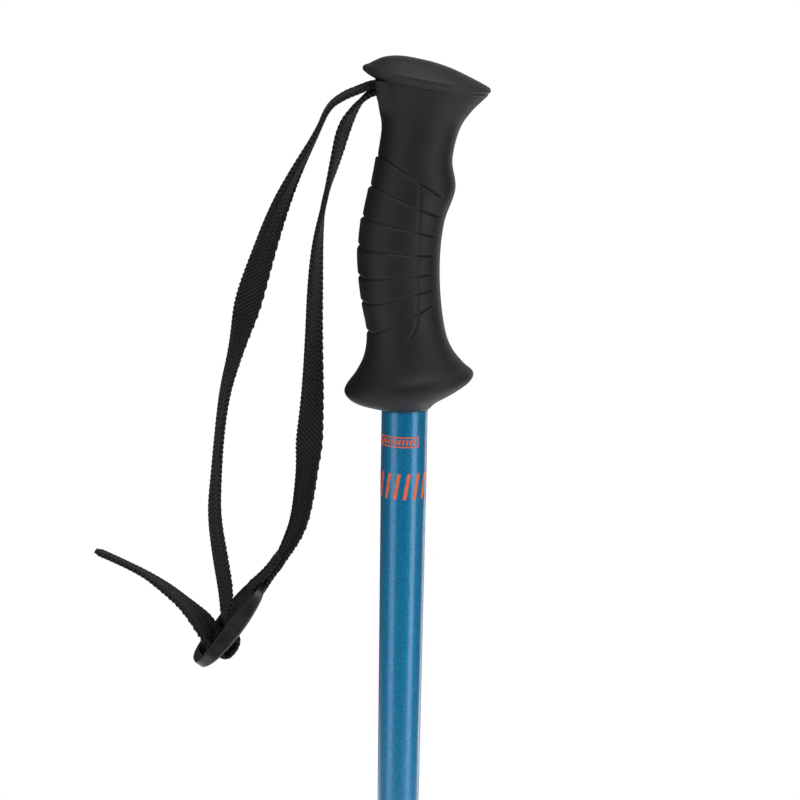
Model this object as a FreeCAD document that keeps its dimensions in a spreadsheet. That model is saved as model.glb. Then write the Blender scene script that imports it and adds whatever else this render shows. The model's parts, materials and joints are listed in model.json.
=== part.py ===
import FreeCAD, Part
import math
import os
import re

import Sketcher
from FreeCAD import Placement, Rotation, Vector

# A junior alpine ski pole, 900 mm long, in millimetres.
# The origin is the point of the steel tip on the shaft's axis and +Z runs up the shaft.
# +X is the side the fingers curl round; the wrist strap leaves the grip on the -X side.

DIMENSIONS = {
    # shaft
    "pole_length": 900.0,
    "shaft_radius": 8.0,
    "shaft_wall": 1.0,
    "shaft_top": 876.0,
    "stub_radius": 7.8,
    "stub_foot": 779.5,
    "taper_top": 755.0,
    "taper_foot": 105.0,
    "shaft_foot": 62.0,
    "shaft_foot_radius": 5.2,
    # grip head
    "pocket_width": 11.2,
    "pocket_front": 9.8,
    "pocket_floor": 884.6,
    "mouth_floor": 887.0,
    "mouth_back": -18.0,
    "mouth_front": -8.4,
    "parting_rear_x": -11.8,
    "parting_rear_z": 893.0,
    "parting_front_x": 26.6,
    "parting_front_z": 887.0,
    "boss_depth": 1.1,
    "boss_rear_gap": 0.4,
    "boss_clearance": 0.2,
    # screw that holds the cap and pins the webbing
    "screw_x": 4.2,
    "screw_hole_radius": 1.6,
    "screw_core_radius": 1.5,
    "screw_head_radius": 2.5,
    "screw_head_height": 1.6,
    "screw_seat": 896.2,
    "screw_foot": 879.0,
    "recess_radius": 2.8,
    "slot_across": 0.8,
    "slot_long": 3.6,
    # webbing
    "webbing_width": 10.0,
    "webbing_thickness": 1.5,
    "strap_lean": 1.4,
    "tail_offset": -3.0,
    "fold_gap": 0.1,
    "tack_length": 3.2,
    "tack_width": 8.4,
    "tack_height": 0.4,
    # buckle, in its own frame: length along its X, width along its Y
    "buckle_length": 35.6,
    "buckle_width": 17.0,
    "buckle_corner": 7.0,
    "buckle_under": 3.3,
    "buckle_over": 3.0,
    "buckle_under_radius": 80.0,
    "buckle_over_radius": 106.0,
    "window_width": 12.4,
    "window_corner": 2.0,
    "long_window_low": -5.8,
    "long_window_high": 14.9,
    "short_window_low": -14.8,
    "short_window_high": -8.9,
    "buckle_x": -60.5,
    "buckle_z": 701.9,
    # ferrule, tip and basket
    "ferrule_foot": 12.0,
    "nose_radius": 4.5,
    "nose_top": 34.0,
    "rib_radius": 6.6,
    "rib_z": 46.6,
    "seat_radius": 6.0,
    "seat_low": 48.4,
    "seat_high": 58.0,
    "shoulder_radius": 8.6,
    "collar_radius": 7.6,
    "ferrule_top": 100.0,
    "ferrule_top_radius": 6.5,
    "tip_radius": 2.5,
    "tip_crown_radius": 3.1,
    "basket_clearance": 0.05,
    "basket_end_play": 0.2,
    "basket_radius": 31.0,
    "basket_hub_radius": 8.4,
    "basket_web": 2.0,
    "basket_spokes": 6,
    "spoke_half_angle": 6.0,
}

# Grip sections from the bottom collar to the parting face. Each is an ellipse across the X-Z plane:
# rear point (x, z), front point (x, z) and half width along Y.
GRIP_SECTIONS = [
    (-9.8, 780.0, 8.9, 780.4, 9.3),
    (-17.5, 781.6, 11.5, 782.6, 13.4),
    (-20.8, 784.2, 18.4, 786.6, 16.4),
    (-21.2, 786.4, 23.0, 790.4, 17.5),
    (-20.0, 788.4, 23.5, 792.8, 17.2),
    (-17.0, 792.6, 20.2, 796.0, 14.9),
    (-14.3, 798.5, 16.4, 800.5, 13.0),
    (-13.5, 806.0, 13.9, 806.0, 12.1),
    (-15.7, 818.0, 11.8, 818.0, 12.4),
    (-17.1, 833.0, 11.2, 833.0, 12.7),
    (-15.9, 845.0, 12.5, 845.0, 12.3),
    (-13.2, 856.0, 15.9, 856.0, 11.8),
    (-10.4, 867.0, 14.7, 866.0, 11.3),
    (-9.3, 876.5, 17.2, 876.5, 11.4),
    (-9.9, 882.0, 20.6, 881.6, 12.0),
    (-10.9, 888.0, 24.3, 884.8, 12.9),
    (-11.8, 893.0, 26.6, 887.0, 13.5),
]

# Cap sections from the parting face to the crown, in the same form.
CAP_SECTIONS = [
    (-11.8, 893.0, 26.6, 887.0, 13.5),
    (-15.2, 895.2, 27.2, 888.0, 15.5),
    (-15.7, 896.4, 27.3, 888.9, 15.8),
    (-13.9, 897.6, 24.4, 890.8, 14.4),
    (-11.6, 898.7, 20.3, 893.1, 12.0),
    (-8.9, 899.5, 13.6, 895.8, 8.9),
    (-4.6, 900.0, 6.2, 898.2, 4.6),
]

# Routes of the webbing's centre line, (x, z), in the order a hand would follow it.
ROOT_ROUTE = [(-12.4, 890.6), (-6.0, 890.1), (8.0, 887.9), (7.7, 885.75), (-5.8, 887.75), (-12.4, 888.2)]
ADJUSTING_ROUTE = [
    (-14.8, 889.9), (-21.2, 887.2), (-27.6, 882.4), (-32.4, 872.6), (-38.6, 860.0), (-44.2, 847.4),
    (-50.4, 829.2), (-56.8, 807.0), (-62.4, 785.4), (-65.0, 765.0), (-66.4, 745.0), (-63.6, 726.0),
    (-61.3, 708.2),
]
FIXED_ROUTE = [
    (-14.6, 887.1), (-19.2, 883.2), (-22.2, 876.8), (-25.2, 863.0), (-29.3, 847.0), (-31.2, 826.0),
    (-31.7, 804.0), (-32.4, 782.0), (-34.0, 761.0), (-37.2, 738.0), (-46.6, 718.6),
]
TAIL_ROUTE = [(-70.9, 695.2), (-74.2, 705.4), (-82.8, 714.4), (-93.6, 721.4), (-107.6, 727.6)]

# The same in the buckle's own frame: (along its length, above its middle).
THREADED_ROUTE = [(4.4, 4.4), (-2.4, 1.2), (-3.0, -7.8), (-12.2, -8.2), (-12.4, 0.4), (-11.2, 4.2)]
FOLD_ROUTE = [(22.2, -1.3), (18.6, -2.6), (13.0, -3.6), (13.0, 3.9), (18.6, 2.9), (24.8, 1.4), (34.4, 3.3)]

# The buckle's long axis and its width as it hangs.
BUCKLE_ALONG = Vector(0.5808, 0.1923, 0.7910)
BUCKLE_ACROSS = Vector(-0.2262, 0.9715, -0.0701)

doc = FreeCAD.newDocument("ski_pole")
sheet = doc.addObject("Spreadsheet::Sheet", "Dimensions")
parts = {}


def fill_sheet():
    """One row a dimension: its name, its value in mm, and the alias that the features use."""
    named = dict(DIMENSIONS)
    for kind, sections in (("grip", GRIP_SECTIONS), ("cap", CAP_SECTIONS)):
        for number, section in enumerate(sections, start=1):
            for what, value in zip(("rear_x", "rear_z", "front_x", "front_z", "half"), section):
                named[f"{kind}_{what}_{number}"] = value
    for row, (alias, value) in enumerate(named.items(), start=1):
        sheet.set(f"A{row}", alias)
        sheet.set(f"B{row}", str(value))
        sheet.setAlias(f"B{row}", alias)
    doc.recompute()
    return named


NAMED = fill_sheet()


def formula(text):
    """A formula in sheet aliases, as an expression that any object can hold."""
    return re.sub(r"[a-z_0-9]+", lambda word: f"Dimensions.{word[0]}" if word[0] in NAMED else word[0], text)


def size(text):
    """The number that a formula gives."""
    return float(sheet.evalExpression(formula(text)))


def bind(item, **formulas):
    """Drive an object's own dimensions from the sheet."""
    for name, text in formulas.items():
        item.setExpression(name, formula(text))
    return item


def place(item, x="0", y="0", z="0"):
    """Bind where an object stands."""
    for axis, text in zip("xyz", (x, y, z)):
        item.setExpression(f"Placement.Base.{axis}", formula(text))
    return item


def node(item, label):
    """Mark a document object as one finished sub-part."""
    item.Label = label
    parts[label] = item
    return item


def origin_plane(body, role):
    return next(plane for plane in body.Origin.OriginFeatures if plane.Role == role)


def outline(body, name, corners, plane="XZ_Plane"):
    """A closed outline of straight lines on one of the body's origin planes, bound to the sheet."""
    sketch = body.newObject("Sketcher::SketchObject", name)
    sketch.AttachmentSupport = [(origin_plane(body, plane), "")]
    sketch.MapMode = "FlatFace"
    spots = [Vector(size(across), size(up), 0) for across, up in corners]
    for spot, after in zip(spots, spots[1:] + spots[:1]):
        sketch.addGeometry(Part.LineSegment(spot, after), False)
    for number in range(len(spots)):
        sketch.addConstraint(Sketcher.Constraint("Coincident", number, 2, (number + 1) % len(spots), 1))
    for number, corner in enumerate(corners):
        for kind, text, value in zip(("DistanceX", "DistanceY"), corner, spots[number]):
            if kind == "DistanceX" and value == 0:
                sketch.addConstraint(Sketcher.Constraint("PointOnObject", number, 1, -2))
                continue
            held = sketch.addConstraint(Sketcher.Constraint(kind, -1, 1, number, 1, value))
            sketch.setExpression(f"Constraints[{held}]", formula(text))
    return sketch


def turned(label, corners):
    """A body turned about the shaft's axis from half its outline."""
    body = doc.addObject("PartDesign::Body", label)
    sketch = outline(body, f"{label}_outline", corners)
    turn = body.newObject("PartDesign::Revolution", f"{label}_turn")
    turn.Profile = sketch
    turn.ReferenceAxis = (sketch, ["V_Axis"])
    turn.Angle = 360
    sketch.Visibility = False
    return node(body, label)


def pocket(body, sketch, name, **settings):
    """A pocket that has to take material away."""
    doc.recompute()
    before = body.Shape.Volume
    cut = body.newObject("PartDesign::Pocket", name)
    cut.Profile = sketch
    for key, value in settings.items():
        setattr(cut, key, value)
    doc.recompute()
    if not body.Shape.Volume < before:
        raise ValueError(f"{name} cuts nothing")
    return cut


def cylinder(name, radius, low, high, x="0"):
    item = doc.addObject("Part::Cylinder", name)
    return place(bind(item, Radius=radius, Height=f"({high}) - ({low})"), x=x, z=low)


def block(name, x_low, x_high, width, z_low, z_high):
    """A box centred on Y = 0."""
    item = doc.addObject("Part::Box", name)
    bind(item, Length=f"({x_high}) - ({x_low})", Width=width, Height=f"({z_high}) - ({z_low})")
    return place(item, x=x_low, y=f"-({width}) / 2", z=z_low)


def fused(name, items):
    item = doc.addObject("Part::MultiFuse", name)
    item.Shapes = items
    return item


def cut_away(name, base, tools):
    item = doc.addObject("Part::Cut", name)
    item.Base = base
    item.Tool = tools[0] if len(tools) == 1 else fused(f"{name}_tools", tools)
    return item


def lofted(kind, count):
    """A loft through ellipses that each span from a rear point to a front point."""
    rings = []
    for number in range(1, count + 1):
        rear_x, rear_z, front_x, front_z = (
            f"{kind}_{what}_{number}" for what in ("rear_x", "rear_z", "front_x", "front_z"))
        span = f"sqrt(({front_x} - {rear_x})^2 + ({front_z} - {rear_z})^2) / 2"
        ring = doc.addObject("Part::Ellipse", f"{kind}_section_{number}")
        bind(ring, MajorRadius=span, MinorRadius=f"{kind}_half_{number}")
        base = f"create(<<vector>>; ({rear_x} + {front_x}) / 2; 0; ({rear_z} + {front_z}) / 2)"
        lean = f"asin(({rear_z} - {front_z}) / 2 / ({span}))"
        turn = f"create(<<rotation>>; create(<<vector>>; 0; 1; 0); {lean})"
        ring.setExpression("Placement", formula(f"create(<<placement>>; {base}; {turn})"))
        rings.append(ring)
    skin = doc.addObject("Part::Loft", f"{kind}_skin")
    skin.Sections = rings
    skin.Solid = True
    skin.Ruled = False
    skin.MaxDegree = 2
    return skin


def corner_arcs(route, beside):
    """Straight runs joined by tangent arcs, as (kind, points, centre) pieces, with each arc's radius.

    They lie in the plane Y = beside.
    """
    spots = [Vector(x, beside, z) for x, z in route]
    pieces, radii, start = [], [], spots[0]
    for before, corner, after in zip(spots, spots[1:], spots[2:]):
        into, out = corner - before, after - corner
        half_turn = into.getAngle(out) / 2
        reach = 0.45 * min(into.Length, out.Length)
        radius = reach / math.tan(half_turn)
        leave = corner - Vector(into).normalize() * reach
        join = corner + Vector(out).normalize() * reach
        inward = (Vector(out).normalize() - Vector(into).normalize()).normalize()
        centre = corner + inward * (radius / math.cos(half_turn))
        middle = centre - inward * radius
        pieces += [("run", (start, leave), None), ("arc", (leave, middle, join), centre)]
        radii.append(radius)
        start = join
    pieces.append(("run", (start, spots[-1]), None))
    return pieces, radii


def shifted_edge(kind, spots, centre, side):
    """One edge of the webbing's outline, beside the centre line."""
    if kind == "run":
        along = (spots[1] - spots[0]).normalize()
        step = along.cross(Vector(0, 1, 0)) * side
        return Part.LineSegment(spots[0] + step, spots[1] + step).toShape()
    turn = (spots[0] - centre).cross(spots[2] - centre).y
    scale = 1 + math.copysign(1, turn) * side / (spots[0] - centre).Length
    return Part.Arc(*[centre + (spot - centre) * scale for spot in spots]).toShape()


def webbing(route):
    """Webbing laid along a route in the X-Z plane, its width along Y, with its length and bend radii."""
    width, thickness = size("webbing_width"), size("webbing_thickness")
    pieces, radii = corner_arcs(route, -width / 2)
    left = [shifted_edge(*piece, thickness / 2) for piece in pieces]
    right = [shifted_edge(*piece, -thickness / 2) for piece in pieces]
    ends = []
    for pair in ((left[0].Vertexes, right[0].Vertexes, 0), (left[-1].Vertexes, right[-1].Vertexes, -1)):
        ends.append(Part.LineSegment(pair[0][pair[2]].Point, pair[1][pair[2]].Point).toShape())
    rim = Part.Wire(Part.__sortEdges__(left + right + ends))
    solid = Part.Face(rim).extrude(Vector(0, width, 0))
    length = 0.0
    for kind, spots, _ in pieces:
        length += (Part.Arc(*spots) if kind == "arc" else Part.LineSegment(*spots)).length()
    share = solid.Volume / (width * thickness * length)
    return solid, length, radii, share


def webbing_node(label, route, placement=None, hole=None):
    solid, length, radii, share = webbing(route)
    if hole:
        solid = solid.cut(hole)
    item = doc.addObject("Part::Feature", label)
    item.Shape = solid
    item.Placement = placement or Placement()
    print(f"{label}: length {length:.1f} mm, volume share {share:.4f}, radii", [round(r, 1) for r in radii])
    return node(item, label)


def make_shaft():
    """An aluminium tube: a stub held in the grip, a straight collar below it, then one long taper."""
    turned("shaft", [
        ("shaft_foot_radius", "shaft_foot"),
        ("shaft_foot_radius", "taper_foot"),
        ("shaft_radius", "taper_top"),
        ("shaft_radius", "stub_foot"),
        ("stub_radius", "stub_foot"),
        ("stub_radius", "shaft_top"),
        ("shaft_radius - shaft_wall", "shaft_top"),
        ("shaft_radius - shaft_wall", "taper_top"),
        ("shaft_foot_radius - shaft_wall", "taper_foot"),
        ("shaft_foot_radius - shaft_wall", "shaft_foot"),
    ])


def make_grip():
    """A moulded grip with a blind socket for the shaft and a pocket in its head for the webbing."""
    tools = [
        cylinder("shaft_socket", "stub_radius", "stub_foot", "shaft_top"),
        block("head_pocket", "mouth_front", "pocket_front", "pocket_width", "pocket_floor", "pole_length"),
        block("strap_mouth", "mouth_back", "mouth_front", "pocket_width", "mouth_floor", "pole_length"),
        cylinder("screw_pilot", "screw_core_radius", "screw_foot", "pole_length", x="screw_x"),
    ]
    node(cut_away("grip_moulding", lofted("grip", len(GRIP_SECTIONS)), tools), "grip")


def parting_placement(drop):
    """A box's own frame laid in the parting face, `drop` below it, as an expression."""
    slope = "(parting_rear_z - parting_front_z) / (parting_front_x - parting_rear_x)"
    corner_x = "parting_rear_x + boss_rear_gap"
    corner_y = "-(pocket_width - 2 * boss_clearance) / 2"
    base = f"create(<<vector>>; {corner_x}; {corner_y}; parting_rear_z - ({drop}))"
    turn = f"create(<<rotation>>; create(<<vector>>; 0; 1; 0); atan({slope}))"
    return formula(f"create(<<placement>>; {base}; {turn})")


def make_cap():
    """The domed cap, with a boss underneath that presses the webbing into the head."""
    boss = doc.addObject("Part::Box", "cap_boss")
    bind(boss, Length="pocket_front - parting_rear_x - 3 * boss_rear_gap",
         Width="pocket_width - 2 * boss_clearance", Height="boss_depth + 1")
    boss.setExpression("Placement", parting_placement("boss_depth"))
    shell = fused("cap_shell", [lofted("cap", len(CAP_SECTIONS)), boss])
    tools = [
        cylinder("cap_screw_hole", "screw_hole_radius", "pocket_floor", "pole_length + 1", x="screw_x"),
        cylinder("cap_recess", "recess_radius", "screw_seat", "pole_length + 1", x="screw_x"),
    ]
    node(cut_away("cap_moulding", shell, tools), "grip_cap")


def make_screw():
    """A pan-head screw with a cross recess."""
    shank = cylinder("screw_shank", "screw_core_radius", "screw_foot", "screw_seat", x="screw_x")
    top = "screw_seat + screw_head_height"
    head = cylinder("screw_head", "screw_head_radius", "screw_seat", top, x="screw_x")
    slots = [
        block("screw_slot_long", "screw_x - slot_long / 2", "screw_x + slot_long / 2", "slot_across",
              f"{top} - 1", f"{top} + 1"),
        block("screw_slot_wide", "screw_x - slot_across / 2", "screw_x + slot_across / 2", "slot_long",
              f"{top} - 1", f"{top} + 1"),
    ]
    node(cut_away("screw_blank", fused("screw_body", [shank, head]), slots), "cap_screw")


def buckle_frame():
    """Where the buckle hangs: its length leans back towards the grip and its width is turned a little."""
    turn = Rotation(BUCKLE_ALONG, BUCKLE_ACROSS, BUCKLE_ALONG.cross(BUCKLE_ACROSS), "XYZ")
    return Placement(Vector(size("buckle_x"), 0, size("buckle_z")), turn)


def rounded_block(name, x_low, x_high, width, height, radius):
    """A block through the buckle's thickness with its four upright edges rounded."""
    blank = block(f"{name}_blank", x_low, x_high, width, f"-({height}) / 2", f"({height}) / 2")
    doc.recompute()
    edges = enumerate(blank.Shape.Edges, start=1)
    upright = [number for number, edge in edges if abs(edge.tangentAt(edge.FirstParameter).z) > 0.9]
    item = doc.addObject("Part::Fillet", name)
    item.Base = blank
    item.Edges = [(number, size(radius), size(radius)) for number in upright]
    return item


def make_buckle():
    """A bowed oval buckle: two rails, an end bar for the sewn side and a middle bar for the free side."""
    plan = rounded_block("buckle_plan", "-buckle_length / 2", "buckle_length / 2", "buckle_width",
                         "buckle_width", "buckle_corner")
    bows = []
    for name, radius, depth, side in (("buckle_bow_under", "buckle_under_radius", "buckle_under", 1),
                                      ("buckle_bow_over", "buckle_over_radius", "buckle_over", -1)):
        bow = doc.addObject("Part::Cylinder", name)
        bind(bow, Radius=radius, Height="buckle_width * 2")
        middle = f"{side} * ({radius} - {depth})"
        spot = f"create(<<vector>>; 0; -buckle_width; {middle})"
        turn = "create(<<rotation>>; create(<<vector>>; 1; 0; 0); -90)"
        bow.setExpression("Placement", formula(f"create(<<placement>>; {spot}; {turn})"))
        bows.append(bow)
    blank = doc.addObject("Part::MultiCommon", "buckle_blank")
    blank.Shapes = [plan] + bows
    windows = [
        rounded_block("long_window", "long_window_low", "long_window_high", "window_width",
                      "buckle_width", "window_corner"),
        rounded_block("short_window", "short_window_low", "short_window_high", "window_width",
                      "buckle_width", "window_corner"),
    ]
    buckle = node(cut_away("buckle_moulding", blank, windows), "strap_buckle")
    buckle.Placement = buckle_frame()


def make_strap():
    """One length of webbing: folded inside the head, down each side of the loop, and out of the buckle."""
    screw_end = Vector(size("screw_x"), 0, size("screw_foot"))
    screw_depth = size("pole_length") - size("screw_foot")
    screw_way = Part.makeCylinder(size("screw_hole_radius"), screw_depth, screw_end)
    webbing_node("strap_root", ROOT_ROUTE, hole=screw_way)
    webbing_node("strap_adjusting_side", ADJUSTING_ROUTE)
    mouth_x, mouth_z = ROOT_ROUTE[-1]
    lean = Placement(Vector(), Rotation(Vector(1, 0, 0), size("strap_lean")), Vector(mouth_x, 0, mouth_z))
    webbing_node("strap_fixed_side", FIXED_ROUTE, lean)
    webbing_node("strap_tail", TAIL_ROUTE, Placement(Vector(0, size("tail_offset"), 0), Rotation()))
    webbing_node("strap_threaded_loop", THREADED_ROUTE, buckle_frame())
    webbing_node("strap_sewn_fold", FOLD_ROUTE, buckle_frame())


def make_stitching():
    """The bar tack that closes the fold: a pad of thread on each face of the doubled webbing."""
    start, end = (Vector(along, 0, above) for along, above in FOLD_ROUTE[-2:])
    middle = (start + end) / 2
    thread, half = size("tack_height"), size("webbing_thickness") / 2
    pads = []
    for low in (half, -3 * half - size("fold_gap") - thread):
        pad = Part.makeBox(size("tack_length"), size("tack_width"), thread,
                           Vector(-size("tack_length") / 2, -size("tack_width") / 2, low))
        pads.append(pad)
    tack = doc.addObject("Part::Feature", "strap_stitching")
    tack.Shape = Part.makeCompound(pads)
    rise = math.degrees(math.atan2(end.z - start.z, end.x - start.x))
    tack.Placement = buckle_frame() * Placement(middle, Rotation(Vector(0, 1, 0), -rise))
    node(tack, "strap_stitching")


def make_ferrule():
    """The plastic tip body: a nose, a snap rib, a seat for the basket and a socket for the shaft."""
    turned("tip_ferrule", [
        ("tip_radius", "ferrule_foot"),
        ("nose_radius - 0.6", "ferrule_foot"),
        ("nose_radius", "ferrule_foot + 1"),
        ("nose_radius", "nose_top"),
        ("seat_radius", "rib_z - 4"),
        ("seat_radius", "rib_z - 1.6"),
        ("rib_radius", "rib_z - 0.4"),
        ("rib_radius", "rib_z + 0.6"),
        ("seat_radius", "seat_low"),
        ("seat_radius", "seat_high"),
        ("shoulder_radius", "seat_high"),
        ("shoulder_radius", "seat_high + 2.4"),
        ("collar_radius", "seat_high + 3.6"),
        ("ferrule_top_radius", "ferrule_top"),
        ("shaft_foot_radius", "ferrule_top"),
        ("shaft_foot_radius", "shaft_foot"),
        ("0", "shaft_foot"),
        ("0", "nose_top"),
        ("tip_radius", "nose_top"),
    ])


def make_tip():
    """A steel pin set in the nose, with a hollow-ground crown that bites into hard snow."""
    turned("steel_tip", [
        ("0", "1.6"),
        ("tip_crown_radius - 0.3", "0"),
        ("tip_crown_radius", "0.4"),
        ("tip_crown_radius", "4"),
        ("tip_radius", "6"),
        ("tip_radius", "nose_top"),
        ("0", "nose_top"),
    ])


def make_basket():
    """A snow basket: a hub that turns on the ferrule's seat, six webs and a rim."""
    bore = "seat_radius + basket_clearance"
    low, high = "seat_low + basket_end_play", "seat_high - basket_end_play"
    body = turned("basket", [
        (bore, low),
        ("basket_hub_radius", low),
        ("basket_hub_radius + 1.4", f"{low} + 2"),
        ("basket_radius - 3", f"{low} + 3.6"),
        ("basket_radius - 2.4", f"{low} + 2.2"),
        ("basket_radius", f"{low} + 2.2"),
        ("basket_radius", f"{low} + 6.6"),
        ("basket_radius - 1.4", f"{low} + 6.6"),
        ("basket_radius - 3", f"{low} + 3.6 + basket_web"),
        ("basket_hub_radius + 1.4", f"{low} + 2 + basket_web"),
        ("basket_hub_radius", high),
        (bore, high),
    ])
    inner, outer = "(basket_hub_radius + 3)", "(basket_radius - 4.2)"
    half_angle = "(180 / basket_spokes - spoke_half_angle)"
    window = outline(body, "basket_window", [
        (f"{inner} * 1", f"-{inner} * tan({half_angle}) * 0.8"),
        (f"{outer} * cos({half_angle})", f"-{outer} * sin({half_angle})"),
        (f"{outer} * 1", "0"),
        (f"{outer} * cos({half_angle})", f"{outer} * sin({half_angle})"),
        (f"{inner} * 1", f"{inner} * tan({half_angle}) * 0.8"),
    ], plane="XY_Plane")
    cut = pocket(body, window, "basket_window_cut", Type=1, Midplane=True)
    solid = body.Shape.Volume
    spread = body.newObject("PartDesign::PolarPattern", "basket_windows")
    spread.Originals = [cut]
    spread.Axis = (window, ["N_Axis"])
    spread.Angle = 360
    bind(spread, Occurrences="basket_spokes")
    body.Tip = spread
    doc.recompute()
    if not body.Shape.Volume < solid:
        raise ValueError("the basket's windows are not repeated")


def check_document():
    for item in doc.Objects:
        if {"Invalid", "Error"} & set(item.State):
            raise ValueError(f"{item.Label} is {item.State}")
    for label, item in parts.items():
        if item.Shape.isNull() or not item.Shape.isValid():
            raise ValueError(f"{label} has no valid shape")


make_shaft()
make_grip()
make_cap()
make_screw()
make_buckle()
make_strap()
make_stitching()
make_ferrule()
make_tip()
make_basket()
doc.recompute()
check_document()
os.makedirs("parts", exist_ok=True)
for label, item in parts.items():
    item.Shape.exportStep(f"parts/{label}.step")
    box = item.Shape.BoundBox
    low, high = ([round(number, 1) for number in corner] for corner in ((box.XMin, box.YMin, box.ZMin),
                                                                        (box.XMax, box.YMax, box.ZMax)))
    print(f"{label}: {item.Shape.Volume:.0f} mm3, solids {len(item.Shape.Solids)}, from {low} to {high}")
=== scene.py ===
import json
import math

import bpy
import numpy as np
from mathutils import Matrix, Vector

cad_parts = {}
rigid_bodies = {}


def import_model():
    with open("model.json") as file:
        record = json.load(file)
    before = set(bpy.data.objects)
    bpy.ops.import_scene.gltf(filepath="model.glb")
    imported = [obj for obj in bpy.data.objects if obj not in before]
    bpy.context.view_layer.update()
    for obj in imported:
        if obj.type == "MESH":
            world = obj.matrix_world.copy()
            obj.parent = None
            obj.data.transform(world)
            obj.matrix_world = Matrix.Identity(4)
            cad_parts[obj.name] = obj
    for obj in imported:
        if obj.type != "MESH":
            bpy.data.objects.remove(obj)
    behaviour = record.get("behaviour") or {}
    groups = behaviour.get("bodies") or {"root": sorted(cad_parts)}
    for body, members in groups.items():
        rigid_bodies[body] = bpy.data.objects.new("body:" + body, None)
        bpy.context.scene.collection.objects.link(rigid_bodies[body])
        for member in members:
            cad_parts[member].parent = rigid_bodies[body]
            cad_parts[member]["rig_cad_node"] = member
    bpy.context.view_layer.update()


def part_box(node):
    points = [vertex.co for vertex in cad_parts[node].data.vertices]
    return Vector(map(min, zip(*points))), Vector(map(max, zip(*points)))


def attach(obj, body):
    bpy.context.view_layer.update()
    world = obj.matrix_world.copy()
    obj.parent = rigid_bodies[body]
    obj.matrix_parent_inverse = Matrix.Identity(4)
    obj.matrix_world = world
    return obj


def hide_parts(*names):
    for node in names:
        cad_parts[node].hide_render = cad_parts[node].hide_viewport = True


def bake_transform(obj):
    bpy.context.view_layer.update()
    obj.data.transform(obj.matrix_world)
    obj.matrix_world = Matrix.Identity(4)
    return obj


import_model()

# A junior alpine ski pole. Lengths below are in millimetres until they are turned into metres with MM.
MM = 0.001

# The grip and its cap: rear point (x, z), front point (x, z) and half width along Y of each section.
GRIP_SECTIONS = [
    (-9.8, 780.0, 8.9, 780.4, 9.3),
    (-17.2, 781.9, 11.5, 782.8, 13.4),
    (-20.4, 784.3, 18.2, 786.8, 16.4),
    (-20.9, 786.4, 22.7, 790.4, 17.5),
    (-20.0, 788.4, 23.5, 792.8, 17.2),
    (-17.0, 792.6, 20.2, 796.0, 14.9),
    (-14.3, 798.5, 16.4, 800.5, 13.0),
    (-13.5, 806.0, 13.9, 806.0, 12.1),
    (-15.7, 818.0, 11.8, 818.0, 12.4),
    (-17.1, 833.0, 11.2, 833.0, 12.7),
    (-15.9, 845.0, 12.5, 845.0, 12.3),
    (-13.3, 856.0, 15.9, 856.0, 11.8),
    (-10.8, 867.0, 14.7, 866.0, 11.3),
    (-9.4, 876.5, 17.2, 876.5, 11.5),
    (-10.3, 882.0, 20.6, 881.6, 12.4),
    (-11.3, 887.8, 23.5, 884.6, 13.6),
    (-11.8, 892.2, 25.1, 886.1, 14.6),
]
CAP_SECTIONS = [
    (-11.8, 892.2, 25.1, 886.1, 14.6),
    (-13.8, 893.3, 26.1, 887.1, 15.0),
    (-15.6, 894.7, 26.8, 888.1, 15.5),
    (-15.9, 895.1, 27.1, 888.6, 15.7),
    (-15.9, 896.1, 27.1, 889.2, 15.8),
    (-15.4, 896.6, 26.4, 889.8, 15.5),
    (-13.9, 897.15, 24.4, 890.95, 14.4),
    (-11.6, 898.3, 20.3, 893.0, 12.0),
    (-8.9, 899.35, 13.6, 896.0, 8.9),
    (-5.2, 899.85, 6.6, 898.2, 4.8),
    (-1.9, 899.75, 2.2, 899.1, 1.6),
]
# Fine grooves round the front of the cap's rim, (x, z).
CAP_GROOVES = [[(13.0, 890.6), (19.0, 889.6), (27.2, 889.1)], [(13.0, 888.9), (18.8, 888.1), (27.2, 887.4)]]
CAP_DROOP = 0.7

# Slits that wrap the rear of the grip: (x, z) from the middle of the back to the end beside the fingers.
SLITS = [
    [(-10.3, 866.2), (-8.3, 865.5), (2.6, 859.0), (11.1, 853.9)],
    [(-13.0, 856.3), (-10.7, 855.8), (3.7, 849.6), (10.8, 846.9)],
    [(-15.8, 846.1), (-13.8, 845.3), (3.8, 841.8), (9.5, 840.3)],
    [(-17.0, 836.4), (-15.7, 835.3), (-8.0, 834.9), (3.9, 834.2), (9.0, 833.9)],
    [(-16.8, 826.0), (-14.4, 825.6), (-7.8, 826.3), (4.0, 827.2), (8.8, 827.7)],
    [(-15.6, 817.2), (-12.7, 816.9), (-6.2, 818.5), (4.1, 821.2), (9.1, 822.4)],
    [(-13.9, 806.9), (-10.8, 807.0), (-2.2, 811.4), (4.3, 814.4), (9.4, 817.2)],
]
# How far each panel's top edge stands proud of the panel above it, one a slit.
STEPS = [0.75, 0.7, 0.6, 0.35, 0.1, 0.0, 0.0]
# The seam that bounds the rear panels, (x, z).
SEAM = [(3.8, 858.5), (3.8, 815.6), (3.7, 812.9), (3.3, 810.0), (0.9, 805.8), (-1.5, 803.2), (-5.0, 800.5),
        (-9.5, 797.2)]
# Half widths and depths of the cuts, for a slit along the grip's side and for the seam.
SLIT_WIDTH, SLIT_DEPTH = 0.34, 0.44
SEAM_WIDTH, SEAM_DEPTH = 0.38, 0.24
# The spacing of the rows of the grip and the cap. The grip's is finer where the slits are, and its mesh has
# to stay under 200,000 faces.
SLITS_LOW, SLITS_HIGH = 802, 870
FINE_ROWS, COARSE_ROWS, GRIP_COLUMNS = 0.25, 0.45, 232
CAP_ROWS, CAP_COLUMNS = 0.22, 240
# The slot at the back of the head that the webbing comes out of.
MOUTH_HALF_WIDTH, MOUTH_BACK = 5.7, -7.8
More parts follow.
